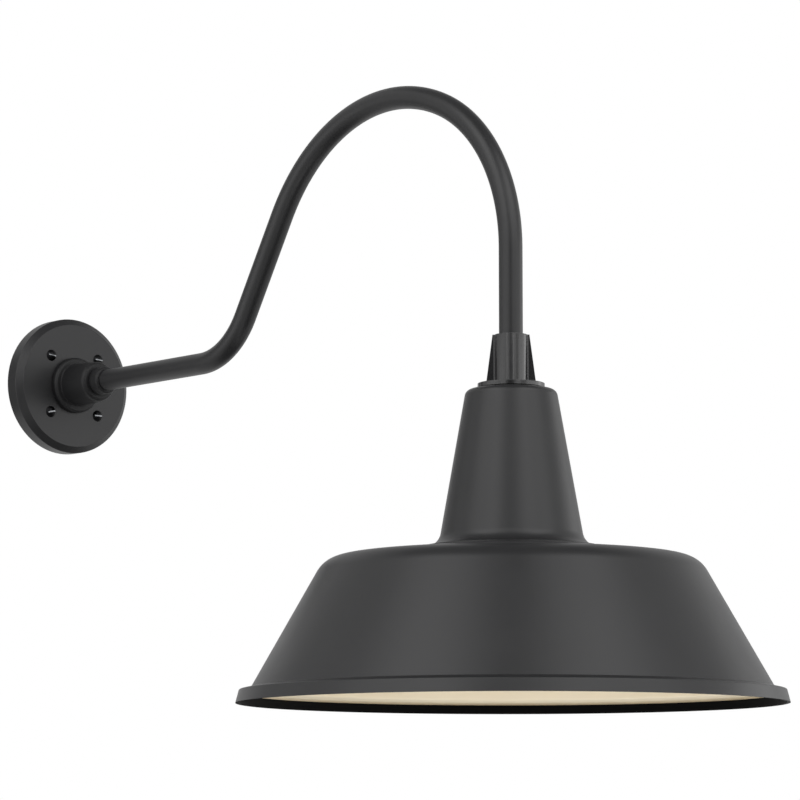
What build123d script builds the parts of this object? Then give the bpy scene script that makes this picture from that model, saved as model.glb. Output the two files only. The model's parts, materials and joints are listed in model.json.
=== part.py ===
from build123d import *
import os
from math import acos, atan2, cos, degrees, hypot, radians, sin, tan

# Barn light on a gooseneck arm, in millimetres.
# The origin is the middle of the backplate where it meets the wall. The wall is the plane Y = 0,
# the light stands out of it along -Y, and +Z is up.
# "Out" below is a distance from the wall along -Y. The shade hangs on an upright axis, the drop.

# Arm tube and its bends
tube_d = 19.05
tube_wall = 2.0
arm_run = 212.0
lower_bend_r = 74.0
rise_angle = 58.0
rise_len = 96.0
crown_r = 167.0
crown_dip_angle = 25.0
drop_bend_r = 142.0
drop_len = 70.0
groove_w = 3.4
groove_depth = 0.9

# Wall plate
plate_d = 124.0
plate_depth = 17.7
plate_bevel_w = 5.6
plate_bevel_depth = 4.6
plate_face_t = 4.6
plate_rim_w = 5.0
plate_edge_round = 0.8
plate_inner_round = 1.6
gasket_t = 1.6
gasket_inset = 1.2
plate_lip_gap = 0.4
ground_post_d = 10.0
ground_post_len = 3.0
ground_post_drop = 40.0
ground_head_w = 9.0
ground_head_h = 3.4

# Plate screws, at the corners of a square
screw_square = 52.0
screw_d = 4.2
screw_shank_d = 4.6
screw_head_d = 10.4
screw_head_h = 3.4
screw_slot_w = 1.2
screw_slot_depth = 1.5
screw_in_wall = 22.0
screw_post_d = 13.0
screw_slot_angles = (-9.0, -5.0, 11.0, -1.0)

# Hub that holds the arm on the plate
hub_bead_d = 50.8
hub_bead_t = 6.3
hub_bead_round = 3.0
hub_bead_step = 6.0
hub_taper = 1.2
hub_len = 40.1
hub_front_round = 4.0
hub_socket_depth = 30.0
hub_spigot_d = 30.0
hub_spigot_len = 12.7
hub_way_d = 15.0
hub_screw_from_front = 17.0
hub_nut_wall = 5.0
hub_nut_t = 4.5
hub_washer_margin = 2.0
hub_washer_t = 1.2
collar_wall = 2.9
collar_len = 12.0
collar_round = 2.5

# Cable inside the arm, and the plastic bushings that guide it
cable_d = 7.6
cable_clear = 0.3
bushing_lip_d = 22.0
bushing_lip_t = 1.8
bushing_sleeve_len = 8.0

# Fitter: the finned casting that carries the shade on the end of the arm
fitter_h = 42.4
fitter_wall = 3.5
fitter_socket_depth = 30.0
flange_ledge = 6.8
fitter_flange_t = 3.5
fitter_flange_round = 0.4
fin_count = 4
fin_t = 3.4
fin_top_w = 1.7
fin_foot_w = 6.8
fin_root_round = 1.2
fin_clock = 42.0
seal_inset = 1.0
seal_t = 1.2

# Nipple, nut and washer under the fitter
nipple_d = 17.1
nipple_bore = 12.0
nipple_tail = 2.7
nut_wall = 3.5
nut_t = 5.0
washer_margin = 2.0
washer_t = 1.2

# Set screws
set_screw_d = 5.0
set_screw_key = 2.5
set_screw_key_depth = 1.8
set_screw_dog_d = 2.6
set_screw_dog_len = 1.2

# Shade neck and bowl, spun from sheet
sheet_t = 1.3
neck_top_d = 71.8
neck_top_round = 6.0
neck_foot_d = 115.8
neck_h = 126.3
neck_foot_round = 13.0
neck_lip_w = 2.3
bowl_lap = 2.5
bowl_seat_margin = 1.5
shoulder_d = 294.4
shoulder_fall = 7.8
shoulder_round = 24.0
skirt_h = 101.2
rim_d = 433.2
rim_h = 9.9
rim_flare = 2.7
rim_step_w = 9.4
rim_step_fall = 2.0
rim_round = 1.2
hem_h = 7.2

# Lamp socket and its strap
strap_t = 1.6
strap_w = 20.0
strap_round = 4.0
strap_edge = 5.8
socket_d = 43.0
socket_h = 42.0
socket_gap = 21.7
socket_top_t = 10.0
socket_round = 2.0
socket_strap_gap = 2.0
shell_t = 0.5
shell_inset = 2.0
shell_eye_d = 13.0
contact_d = 8.0
contact_h = 3.0
contact_hole_d = 2.0
contact_clear = 0.1
strap_screw_d = 3.5
strap_screw_bite = 5.0
strap_screw_head_d = 7.0
strap_screw_head_h = 2.4
terminal_size = 8.0
terminal_t = 3.0
terminal_out = 11.0
terminal_screw_d = 2.8
terminal_screw_h = 1.6
terminal_slot_w = 0.6
terminal_slot_depth = 0.8
lead_d = 2.4
lead_split = 1.9
lead_bend_r = 6.0
lead_stub = 1.0

# Bulb
bulb_d = 60.0
bulb_len = 110.0
bulb_glass_t = 0.8
bulb_neck_d = 26.0
bulb_flank_angle = 30.0
bulb_flank_round = 25.0
cap_d = 26.2
cap_clear = 0.3
cap_thread_depth = 0.7
cap_pitch = 3.6
cap_turns = 5
cap_t = 0.6
cap_skirt = 4.0
button_d = 9.0
button_tip_d = 6.0
button_h = 1.5
insulator_d = 19.0
insulator_h = 3.0
stem_flare_h = 26.0
stem_post_d = 3.0
stem_shoulder_d = 13.0
stem_foot_d = 13.0
stem_foot_t = 1.5
filament_d = 1.8
filament_len = 30.0
filament_ring_d = 9.6
filament_count = 4

# Clearances
slip = 0.08
seat_clear = 0.05
hole_clear = 0.25
dog_clear = 0.3

tube_r = tube_d / 2
hub_base_r = hub_bead_d / 2 - hub_bead_step
hub_front_r = hub_base_r - hub_taper
hub_nut_width = hub_spigot_d + 2 * hub_nut_wall
collar_r = tube_r + collar_wall
barrel_r = tube_r + fitter_wall
fin_top_r = barrel_r + fin_top_w
fin_foot_r = barrel_r + fin_foot_w
flange_r = fin_foot_r + flange_ledge
nut_width = nipple_d + 2 * nut_wall
neck_lean = degrees(atan2((neck_foot_d - neck_top_d) / 2, neck_h - sheet_t))
lip_start_r = neck_foot_d / 2 + neck_foot_round * tan(radians((90 - neck_lean) / 2))
lip_r = lip_start_r + neck_lip_w
rim_step_r = rim_d / 2 - rim_flare
skirt_r = rim_step_r - rim_step_w
shell_r = cap_d / 2 + cap_clear
reach = (arm_run + lower_bend_r * sin(radians(rise_angle)) + rise_len * cos(radians(rise_angle))
         + crown_r * (sin(radians(rise_angle)) + sin(radians(crown_dip_angle)))
         + drop_bend_r * (1 - sin(radians(crown_dip_angle))))
drop_start = (lower_bend_r * (1 - cos(radians(rise_angle))) + rise_len * sin(radians(rise_angle))
              + crown_r * (cos(radians(crown_dip_angle)) - cos(radians(rise_angle)))
              - drop_bend_r * cos(radians(crown_dip_angle)))

# Distances out from the wall
face_out = plate_depth
plate_side_out = plate_depth - plate_bevel_depth
inner_face_out = plate_depth - plate_face_t
hub_front_out = plate_depth + hub_len
arm_start_out = hub_front_out - hub_socket_depth
spigot_end_out = plate_depth - hub_spigot_len
cable_start_out = spigot_end_out - bushing_lip_t
hub_screw_out = hub_front_out - hub_screw_from_front

# Heights down the drop
fitter_top = drop_start - drop_len
arm_end = fitter_top - fitter_socket_depth
fitter_bottom = fitter_top - fitter_h
flange_top = fitter_bottom + fitter_flange_t
fitter_screw_z = (fitter_top + arm_end) / 2
neck_top = fitter_bottom - seal_t
strap_top = neck_top - sheet_t
washer_top = strap_top - strap_t
nut_top = washer_top - washer_t
nipple_end = nut_top - nut_t - nipple_tail
cable_end = nipple_end - bushing_lip_t
neck_seat = neck_top - neck_h
shoulder_z = neck_seat - shoulder_fall
skirt_end = shoulder_z - skirt_h
rim_step_z = skirt_end - rim_step_fall
rim_bottom = rim_step_z - rim_h
socket_top = nipple_end - socket_gap + terminal_t
socket_roof = socket_top - socket_top_t
socket_bottom = socket_top - socket_h
contact_tip = socket_roof - contact_h
bulb_tip = contact_tip - bulb_len
insulator_top = contact_tip - button_h
cap_top = insulator_top - insulator_h
cap_bottom = cap_top - cap_pitch * cap_turns - cap_skirt
glass_top = cap_bottom
filament_top = glass_top - stem_flare_h
filament_bottom = filament_top - filament_len
strap_screw_z = socket_top - socket_top_t / 2
strap_foot = strap_screw_z - strap_edge

screw_corners = [(-1, 1), (1, 1), (-1, -1), (1, -1)]
arm_plane = Plane(origin=(0, 0, 0), x_dir=(0, -1, 0), z_dir=(-1, 0, 0))


def outline(corners):
    """Closed face through corners given as (across, along, rounding)."""
    points = [corner[:2] for corner in corners]
    rounds = [corner[2] for corner in corners]
    return make_face(FilletPolyline(*points, radius=rounds, close=True))


def turned_on_wall(corners):
    """Solid turned about the wall axis from (radius, out, rounding) corners."""
    return revolve(outline([(r, -out, rounding) for r, out, rounding in corners]), Axis.Y)


def on_drop(shape):
    """Move a shape made round the Z axis to the drop."""
    return Pos(0, -reach, 0) * shape


def turned(corners):
    """Solid turned about the Z axis from (radius, height, rounding) corners."""
    return revolve(Plane.XZ * outline(corners), Axis.Z)


def sharp(points):
    """Corners without rounding."""
    return [(across, along, 0) for across, along in points]


def ring(outer_d, inner_d, top, thickness):
    """Flat ring round the Z axis."""
    return turned(sharp([(inner_d / 2, top), (outer_d / 2, top),
                         (outer_d / 2, top - thickness), (inner_d / 2, top - thickness)]))


def spun(line):
    """Sheet of even thickness turned about the Z axis from its outer line, drawn outwards and down."""
    sheet = make_face(offset(line, amount=sheet_t, side=Side.RIGHT))
    return revolve(Plane.XZ * sheet, Axis.Z)


def hexagon(width):
    """Hexagon with a given width across its flats."""
    return RegularPolygon(width / 2, 6, major_radius=False)


def hex_nut(width, bore, thickness):
    """Hexagon nut standing on the XY plane."""
    return extrude(hexagon(width) - Circle(bore / 2), thickness)


def arm_line(start_out, end_z):
    """Centre line of the arm from a distance out to a height on the drop."""
    run = Line((start_out, 0), (arm_run, 0))
    lower = JernArc(run @ 1, run % 1, lower_bend_r, rise_angle)
    rise = Line(lower @ 1, lower @ 1 + rise_len * (lower % 1))
    crown = JernArc(rise @ 1, rise % 1, crown_r, -(rise_angle + crown_dip_angle))
    over = JernArc(crown @ 1, crown % 1, drop_bend_r, -(90 - crown_dip_angle))
    drop = Line(over @ 1, (reach, end_z))
    return arm_plane * Wire([run, lower, rise, crown, over, drop])


def swept(section, line):
    """Section carried along a line from its start."""
    return sweep(Plane(line @ 0, z_dir=line % 0) * section, path=line)


def set_screw(length):
    """Headless screw along +Z, with a dog point at the bottom and a hexagon recess on top."""
    body = Pos(0, 0, set_screw_dog_len) * extrude(Circle(set_screw_d / 2), length - set_screw_dog_len)
    dog = extrude(Circle(set_screw_dog_d / 2), set_screw_dog_len)
    key = extrude(hexagon(set_screw_key), set_screw_key_depth)
    return body + dog - Pos(0, 0, length - set_screw_key_depth) * key


def slotted_head(diameter, height, slot_w, slot_depth):
    """Domed, slotted screw head standing on the XY plane."""
    dome_r = (diameter * diameter / 4 + height * height) / (2 * height)
    dome = Pos(0, 0, height - dome_r) * Sphere(dome_r)
    head = extrude(Circle(diameter / 2), height) & dome
    slot = Pos(0, 0, height - slot_depth / 2) * Box(diameter, slot_w, slot_depth)
    return head - slot


def out_of_wall(out, x=0.0, z=0.0):
    """Place for a shape made along +Z, turned to point out of the wall."""
    return Pos(x, -out, z) * Rot(90, 0, 0)


def backplate():
    rim_r = plate_d / 2
    plate = turned_on_wall([
        (hub_spigot_d / 2 + hole_clear, face_out, 0), (rim_r - plate_bevel_w, face_out, plate_edge_round),
        (rim_r, plate_side_out, plate_edge_round), (rim_r, plate_lip_gap, 0),
        (rim_r - gasket_inset, plate_lip_gap, 0), (rim_r - gasket_inset, gasket_t, 0),
        (rim_r - plate_rim_w, gasket_t, 0), (rim_r - plate_rim_w, inner_face_out, plate_inner_round),
        (hub_spigot_d / 2 + hole_clear, inner_face_out, 0)])
    post = extrude(Circle(screw_post_d / 2), inner_face_out - gasket_t + plate_face_t / 2)
    hole = extrude(Circle(screw_shank_d / 2 + hole_clear), plate_depth)
    for side, level in screw_corners:
        x, z = side * screw_square / 2, level * screw_square / 2
        plate += out_of_wall(gasket_t, x, z) * post
        plate -= out_of_wall(0, x, z) * hole
    ground_post = extrude(Circle(ground_post_d / 2), ground_post_len + plate_face_t / 2)
    ground_hole = extrude(Circle(screw_d / 2 + seat_clear), ground_post_len + plate_face_t / 2)
    plate += out_of_wall(inner_face_out - ground_post_len, 0, -ground_post_drop) * ground_post
    return plate - out_of_wall(inner_face_out - ground_post_len, 0, -ground_post_drop) * ground_hole


def wall_gasket():
    outer_r = plate_d / 2 - gasket_inset - seat_clear
    inner_r = plate_d / 2 - plate_rim_w
    return turned_on_wall(sharp([(inner_r, 0), (outer_r, 0), (outer_r, gasket_t), (inner_r, gasket_t)]))


def plate_screws():
    """Four screws: a slotted head, a plain shank through the plate and a thinner tail in the wall."""
    head = slotted_head(screw_head_d, screw_head_h, screw_slot_w, screw_slot_depth)
    shank = Pos(0, 0, -face_out) * extrude(Circle(screw_shank_d / 2), face_out)
    tail = Pos(0, 0, -face_out - screw_in_wall) * extrude(Circle(screw_d / 2), screw_in_wall)
    screw = head + shank + tail
    screws = []
    for (side, level), angle in zip(screw_corners, screw_slot_angles):
        place = out_of_wall(face_out, side * screw_square / 2, level * screw_square / 2)
        screws.append(place * Rot(0, 0, angle) * screw)
    return screws


def ground_screw():
    length = ground_post_len + plate_face_t / 2
    shank = extrude(Circle(screw_d / 2), length)
    head = Pos(0, 0, -ground_head_h) * extrude(hexagon(ground_head_w), ground_head_h)
    return out_of_wall(inner_face_out - ground_post_len, 0, -ground_post_drop) * (shank + head)


def arm_hub():
    bore_r = tube_r + slip
    bead_out = face_out + hub_bead_t
    hub = turned_on_wall([
        (hub_way_d / 2, spigot_end_out, 0), (hub_spigot_d / 2, spigot_end_out, 0),
        (hub_spigot_d / 2, face_out, 0), (hub_bead_d / 2, face_out, plate_edge_round),
        (hub_bead_d / 2, bead_out, hub_bead_round), (hub_base_r, bead_out, plate_edge_round),
        (hub_front_r, hub_front_out, hub_front_round), (bore_r, hub_front_out, 0),
        (bore_r, arm_start_out, 0), (hub_way_d / 2, arm_start_out, 0)])
    hole = extrude(Circle(set_screw_d / 2 + seat_clear), hub_bead_d)
    return hub - Pos(0, -hub_screw_out, 0) * Rot(0, 90, 0) * hole


def hub_set_screw():
    tip = tube_r - groove_depth + dog_clear
    return Pos(tip, -hub_screw_out, 0) * Rot(0, 90, 0) * set_screw(hub_front_r - tip)


def hub_washer():
    out = inner_face_out
    inner_r = hub_spigot_d / 2 + hole_clear
    outer_r = hub_nut_width / 2 + hub_washer_margin
    return turned_on_wall(sharp([(inner_r, out), (outer_r, out), (outer_r, out - hub_washer_t),
                                 (inner_r, out - hub_washer_t)]))


def hub_nut():
    nut = hex_nut(hub_nut_width, hub_spigot_d + 2 * seat_clear, hub_nut_t)
    return out_of_wall(inner_face_out - hub_washer_t - hub_nut_t) * nut


def hub_bushing():
    bore_r = cable_d / 2 + cable_clear
    sleeve_r = hub_way_d / 2 - seat_clear
    end = spigot_end_out + bushing_sleeve_len
    return turned_on_wall(sharp([
        (bore_r, cable_start_out), (bushing_lip_d / 2, cable_start_out), (bushing_lip_d / 2, spigot_end_out),
        (sleeve_r, spigot_end_out), (sleeve_r, end), (bore_r, end)]))


def arm_collar():
    bore_r = tube_r + seat_clear
    front = hub_front_out + collar_len
    return turned_on_wall([
        (bore_r, hub_front_out, 0), (collar_r, hub_front_out, plate_edge_round),
        (collar_r, front, collar_round), (bore_r, front, 0)])


def gooseneck_arm():
    tube = swept(Circle(tube_r) - Circle(tube_r - tube_wall), arm_line(arm_start_out, arm_end))
    inner_r = tube_r - groove_depth
    outer_r = tube_r + groove_depth
    first, last = hub_screw_out - groove_w / 2, hub_screw_out + groove_w / 2
    tube -= turned_on_wall(sharp([(inner_r, first), (outer_r, first), (outer_r, last), (inner_r, last)]))
    return tube - on_drop(ring(2 * outer_r, 2 * inner_r, fitter_screw_z + groove_w / 2, groove_w))


def arm_cable():
    return swept(Circle(cable_d / 2), arm_line(cable_start_out, cable_end))


def fitter():
    bore_r = tube_r + slip
    thread_r = nipple_d / 2 + seat_clear
    section = Circle(barrel_r)
    for number in range(fin_count):
        fin = Pos(fin_foot_r / 2, 0) * Rectangle(fin_foot_r, fin_t)
        section += Rot(0, 0, 360 / fin_count * number) * fin
    roots = [corner for corner in section.vertices() if hypot(corner.X, corner.Y) < barrel_r + seat_clear]
    section = fillet(roots, fin_root_round)
    finned = Pos(0, 0, flange_top) * extrude(section, fitter_top - flange_top)
    finned &= turned(sharp([(0, fitter_top), (fin_top_r, fitter_top),
                            (fin_foot_r, flange_top), (0, flange_top)]))
    flange = turned([
        (0, flange_top, 0), (flange_r, flange_top, fitter_flange_round),
        (flange_r, fitter_bottom, 0), (0, fitter_bottom, 0)])
    way = turned(sharp([(0, fitter_top), (bore_r, fitter_top), (bore_r, arm_end), (thread_r, arm_end),
                        (thread_r, fitter_bottom), (0, fitter_bottom)]))
    body = Rot(0, 0, -90 - fin_clock) * (finned + flange - way)
    hole = extrude(Circle(set_screw_d / 2 + seat_clear), flange_r)
    return on_drop(body - Pos(0, 0, fitter_screw_z) * Rot(-90, 0, 0) * hole)


def fitter_set_screw():
    tip = tube_r - groove_depth + dog_clear
    screw = set_screw(barrel_r - tip)
    return on_drop(Pos(0, tip, fitter_screw_z) * Rot(-90, 0, 0) * screw)


def fitter_seal():
    return on_drop(ring(2 * (flange_r - seal_inset), nipple_d + 2 * hole_clear, fitter_bottom, seal_t))


def nipple():
    return on_drop(ring(nipple_d, nipple_bore, arm_end, arm_end - nipple_end))


def nipple_washer():
    return on_drop(ring(nut_width + 2 * washer_margin, nipple_d + 2 * hole_clear, washer_top, washer_t))


def nipple_nut():
    return on_drop(Pos(0, 0, nut_top - nut_t) * hex_nut(nut_width, nipple_d + 2 * seat_clear, nut_t))


def nipple_bushing():
    bore_r = cable_d / 2 + cable_clear
    sleeve_r = nipple_bore / 2 - seat_clear
    top = nipple_end + bushing_sleeve_len
    return on_drop(turned(sharp([
        (bore_r, cable_end), (nipple_d / 2, cable_end), (nipple_d / 2, nipple_end),
        (sleeve_r, nipple_end), (sleeve_r, top), (bore_r, top)])))


def shade_neck():
    lip_z = neck_seat + sheet_t
    line = FilletPolyline(
        (nipple_d / 2 + hole_clear, neck_top), (neck_top_d / 2, neck_top),
        (neck_foot_d / 2, lip_z), (lip_r, lip_z),
        radius=[neck_top_round, neck_foot_round])
    return on_drop(spun(line))


def shade_bowl():
    hole_r = lip_start_r - bowl_lap
    seat_r = lip_r + bowl_seat_margin
    line = FilletPolyline(
        (hole_r, neck_seat), (seat_r, neck_seat), (shoulder_d / 2, shoulder_z),
        (skirt_r, skirt_end), (rim_step_r, rim_step_z), (rim_d / 2, rim_bottom),
        radius=[shoulder_round, shoulder_round, rim_round, rim_round])
    slope = rim_flare / rim_h
    hem_top = rim_bottom + hem_h
    hem_r = rim_d / 2 - slope * hem_h
    hem = turned([
        (hem_r - 2 * sheet_t, hem_top, 0), (hem_r - sheet_t / 2, hem_top, 0),
        (rim_d / 2 - sheet_t / 2, rim_bottom, 0), (rim_d / 2 - 2 * sheet_t, rim_bottom, rim_round / 2)])
    return on_drop(spun(line) + hem)


def socket_strap():
    """Steel strap bent down on both sides of the socket, with holes for the nipple and the screws."""
    half = socket_d / 2 + socket_strap_gap + strap_t
    line = FilletPolyline((-half, strap_foot), (-half, strap_top), (half, strap_top), (half, strap_foot),
                          radius=strap_round)
    side = make_face(offset(line, amount=strap_t, side=Side.RIGHT))
    strap = extrude(Plane.XZ * side, strap_w / 2, both=True)
    strap -= Pos(0, 0, strap_top - 2 * strap_t) * extrude(Circle(nipple_d / 2 + hole_clear), 3 * strap_t)
    across = extrude(Circle(strap_screw_d / 2 + hole_clear), 2 * half, both=True)
    return on_drop(strap - Pos(0, 0, strap_screw_z) * Rot(0, 90, 0) * across)


def strap_screws():
    """Two screws through the strap's legs into the sides of the socket."""
    out = socket_d / 2 + socket_strap_gap + strap_t
    length = socket_strap_gap + strap_t + strap_screw_bite
    head = slotted_head(strap_screw_head_d, strap_screw_head_h, screw_slot_w, screw_slot_depth)
    screw = head + Pos(0, 0, -length) * extrude(Circle(strap_screw_d / 2), length)
    return [on_drop(Pos(side * out, 0, strap_screw_z) * Rot(0, 90 * side, 0) * screw) for side in (-1, 1)]


def socket_body():
    bore_r = shell_r + shell_t + seat_clear
    body = turned([
        (0, socket_top, 0), (socket_d / 2, socket_top, socket_round),
        (socket_d / 2, socket_bottom, socket_round), (bore_r, socket_bottom, 0),
        (bore_r, socket_roof, 0), (0, socket_roof, 0)])
    hole = extrude(Circle(strap_screw_d / 2 + seat_clear), strap_screw_bite + seat_clear)
    for side in (-1, 1):
        body -= Pos(side * socket_d / 2, 0, strap_screw_z) * Rot(0, -90 * side, 0) * hole
    return on_drop(body)


def socket_shell():
    outer_r = shell_r + shell_t
    end = socket_bottom + shell_inset
    return on_drop(turned(sharp([
        (shell_eye_d / 2, socket_roof), (outer_r, socket_roof), (outer_r, end), (shell_r, end),
        (shell_r, socket_roof - shell_t), (shell_eye_d / 2, socket_roof - shell_t)])))


def socket_contact():
    return on_drop(ring(contact_d, contact_hole_d, socket_roof, contact_h - contact_clear))


def socket_terminals():
    block = Box(terminal_size, terminal_size, terminal_t)
    level = socket_top + terminal_t / 2
    return [on_drop(Pos(0, side * terminal_out, level) * block) for side in (-1, 1)]


def terminal_screws():
    head = slotted_head(terminal_screw_d, terminal_screw_h, terminal_slot_w, terminal_slot_depth)
    level = socket_top + terminal_t / 2
    out = terminal_size / 2
    return [on_drop(Pos(out, side * terminal_out, level) * Rot(0, 90, 0) * head) for side in (-1, 1)]


def lamp_lead(side):
    """Lead from the cable's end to one terminal, in an S of two equal bends."""
    swing = degrees(acos(1 - (terminal_out - lead_split) / (2 * lead_bend_r)))
    start = Line((lead_split, cable_end), (lead_split, cable_end - lead_stub))
    away = JernArc(start @ 1, start % 1, lead_bend_r, swing)
    back = JernArc(away @ 1, away % 1, lead_bend_r, -swing)
    end = Line(back @ 1, (terminal_out, socket_top + terminal_t))
    line = Plane.YZ * Wire([start, away, back, end])
    lead = swept(Circle(lead_d / 2), line)
    return on_drop(lead if side > 0 else Rot(0, 0, 180) * lead)


def live_lead():
    return lamp_lead(1)


def neutral_lead():
    return lamp_lead(-1)


def bulb_button():
    return on_drop(turned(sharp([(0, contact_tip), (button_tip_d / 2, contact_tip),
                                 (button_d / 2, insulator_top), (0, insulator_top)])))


def bulb_insulator():
    return on_drop(turned(sharp([(0, insulator_top), (button_d / 2, insulator_top),
                                 (insulator_d / 2, cap_top), (0, cap_top)])))


def bulb_cap():
    """Thin metal cap: a closed top and rounded thread ridges over a plain skirt."""
    crest_r = cap_d / 2
    root_r = crest_r - cap_thread_depth
    inner_r = root_r - cap_t
    corners = [(0, cap_top, 0), (insulator_d / 2, cap_top, 0)]
    for turn in range(cap_turns):
        top = cap_top - cap_pitch * turn
        corners += [(root_r, top - cap_pitch / 4, 0), (crest_r, top - cap_pitch / 2, 0)]
    skirt_top = cap_top - cap_pitch * cap_turns
    corners += [(root_r, skirt_top, 0), (root_r, cap_bottom, 0), (inner_r, cap_bottom, 0),
                (inner_r, cap_top - insulator_h, 0), (0, cap_top - insulator_h, 0)]
    return on_drop(turned(corners))


def bulb_glass():
    ball_r = bulb_d / 2
    neck_r = bulb_neck_d / 2
    middle = bulb_tip + ball_r
    lean = radians(bulb_flank_angle)
    ball = CenterArc((0, middle), ball_r, -90, 90 + bulb_flank_angle)
    flank = (ball_r * cos(lean) - neck_r) / sin(lean)
    corner_z = middle + ball_r * sin(lean) + flank * cos(lean)
    flank_line = FilletPolyline(ball @ 1, (neck_r, corner_z), (neck_r, glass_top), radius=[bulb_flank_round])
    line = Wire([ball] + list(flank_line.edges()))
    wall = make_face(offset(line, amount=bulb_glass_t, side=Side.LEFT))
    return on_drop(revolve(Plane.XZ * wall, Axis.Z))


def bulb_stem():
    """Glass stem: a flare sealed in the bulb's neck, a thin post and an end plate."""
    flare_r = bulb_neck_d / 2 - bulb_glass_t - seat_clear
    post_r = stem_post_d / 2
    return on_drop(turned(sharp([
        (0, glass_top), (flare_r, glass_top), (stem_shoulder_d / 2, filament_top), (post_r, filament_top),
        (post_r, filament_bottom), (stem_foot_d / 2, filament_bottom),
        (stem_foot_d / 2, filament_bottom - stem_foot_t), (0, filament_bottom - stem_foot_t)])))


def bulb_filaments():
    """Straight filament sticks standing round the stem's post."""
    stick = extrude(Circle(filament_d / 2), filament_len)
    turns = [360 / filament_count * number for number in range(filament_count)]
    return [on_drop(Rot(0, 0, turn) * Pos(filament_ring_d / 2, 0, filament_bottom) * stick) for turn in turns]


PARTS = {
    "wall_gasket": wall_gasket,
    "backplate": backplate,
    "plate_screws": plate_screws,
    "ground_screw": ground_screw,
    "arm_hub": arm_hub,
    "hub_set_screw": hub_set_screw,
    "hub_washer": hub_washer,
    "hub_nut": hub_nut,
    "hub_bushing": hub_bushing,
    "arm_collar": arm_collar,
    "gooseneck_arm": gooseneck_arm,
    "arm_cable": arm_cable,
    "fitter": fitter,
    "fitter_set_screw": fitter_set_screw,
    "fitter_seal": fitter_seal,
    "nipple": nipple,
    "nipple_washer": nipple_washer,
    "nipple_nut": nipple_nut,
    "nipple_bushing": nipple_bushing,
    "shade_neck": shade_neck,
    "shade_bowl": shade_bowl,
    "socket_strap": socket_strap,
    "strap_screws": strap_screws,
    "socket_body": socket_body,
    "socket_shell": socket_shell,
    "socket_contact": socket_contact,
    "socket_terminals": socket_terminals,
    "terminal_screws": terminal_screws,
    "live_lead": live_lead,
    "neutral_lead": neutral_lead,
    "bulb_button": bulb_button,
    "bulb_insulator": bulb_insulator,
    "bulb_cap": bulb_cap,
    "bulb_glass": bulb_glass,
    "bulb_stem": bulb_stem,
    "bulb_filaments": bulb_filaments,
}

os.makedirs("parts", exist_ok=True)
for name, make in PARTS.items():
    shape = make()
    if isinstance(shape, list):
        shape = Compound(children=shape)
    export_step(shape, f"parts/{name}.step")
    print(name, round(shape.volume, 1))
print("reach", round(reach, 2), "fitter top", round(fitter_top, 2), "rim bottom", round(rim_bottom, 2))
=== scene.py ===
# %% [markdown]
# # A barn light on a gooseneck arm
# The CAD model is the fixed frame of this scene: every part is in metres, in its real place, on the body
# that it moves with. Blender's share is the look. The lesson loads the frame, sets up the camera, mixes the
# finishes, builds the pieces that need finer shapes than the CAD has, and lights them last.

# %% Load the frame
import json
import math

import bpy
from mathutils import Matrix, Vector


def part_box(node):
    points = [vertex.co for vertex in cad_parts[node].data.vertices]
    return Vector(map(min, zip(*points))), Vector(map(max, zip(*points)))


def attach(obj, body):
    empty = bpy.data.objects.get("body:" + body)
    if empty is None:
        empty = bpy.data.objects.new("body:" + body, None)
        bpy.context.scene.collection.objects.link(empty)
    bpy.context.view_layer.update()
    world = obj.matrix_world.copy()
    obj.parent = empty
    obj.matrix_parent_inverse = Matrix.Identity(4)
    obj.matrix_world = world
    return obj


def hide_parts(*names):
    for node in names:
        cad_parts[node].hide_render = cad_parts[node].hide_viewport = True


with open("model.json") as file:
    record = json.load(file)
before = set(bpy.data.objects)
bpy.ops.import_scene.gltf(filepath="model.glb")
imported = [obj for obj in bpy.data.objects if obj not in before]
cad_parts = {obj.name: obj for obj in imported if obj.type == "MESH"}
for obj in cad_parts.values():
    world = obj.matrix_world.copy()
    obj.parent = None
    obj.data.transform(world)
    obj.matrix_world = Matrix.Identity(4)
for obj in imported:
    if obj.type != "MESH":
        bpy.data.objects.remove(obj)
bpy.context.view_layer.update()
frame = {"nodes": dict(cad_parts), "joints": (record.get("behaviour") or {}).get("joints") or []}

MM = 0.001
nodes = frame["nodes"]

# %% [markdown]
# ## Places worked out from the frame
# The shade hangs on an upright axis, and most of its pieces are turned about that axis. Its place is read
# from the swivel joint, and the heights come from the boxes of the CAD nodes, so that they follow the CAD.

# %% Find the shade's axis and heights
swivel = next(joint for joint in frame["joints"] if joint["name"] == "shade_swivel")
drop_y = swivel["pos_m"][1]
rim_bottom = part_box("shade_bowl")[0].z
print("shade axis at y =", round(drop_y, 4), "and rim at z =", round(rim_bottom, 4))

# %% [markdown]
# ## Camera
# The photograph was taken from the light's left front and a little from below, from far away with a long
# lens, so that upright edges stay almost parallel. The camera stands level, without roll, and is pitched
# up.

# %% Set up the camera
CAMERA_PLACE = Vector((-1.88278, -2.72482, -0.42907))
CAMERA_AIM = Vector((0.63807, 0.75969, 0.12563))
camera_data = bpy.data.cameras.new("camera")
camera_data.lens = 162.0
camera_data.sensor_width = 36.0
camera_data.clip_start = 0.1
camera_data.clip_end = 500.0
camera = bpy.data.objects.new("camera", camera_data)
camera.location = CAMERA_PLACE
camera.rotation_euler = CAMERA_AIM.to_track_quat("-Z", "Y").to_euler()
bpy.context.scene.collection.objects.link(camera)
bpy.context.scene.camera = camera
print("camera is", round((CAMERA_PLACE - Vector((0, drop_y, 0))).length, 2), "m from the shade")

# %% [markdown]
# ## Colours and nodes
# Colours are written as sRGB hex values, as a paint program shows them, and one function turns them to the
# linear values that the shader works with. A second small function adds a node, sets it up and links it.

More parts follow.
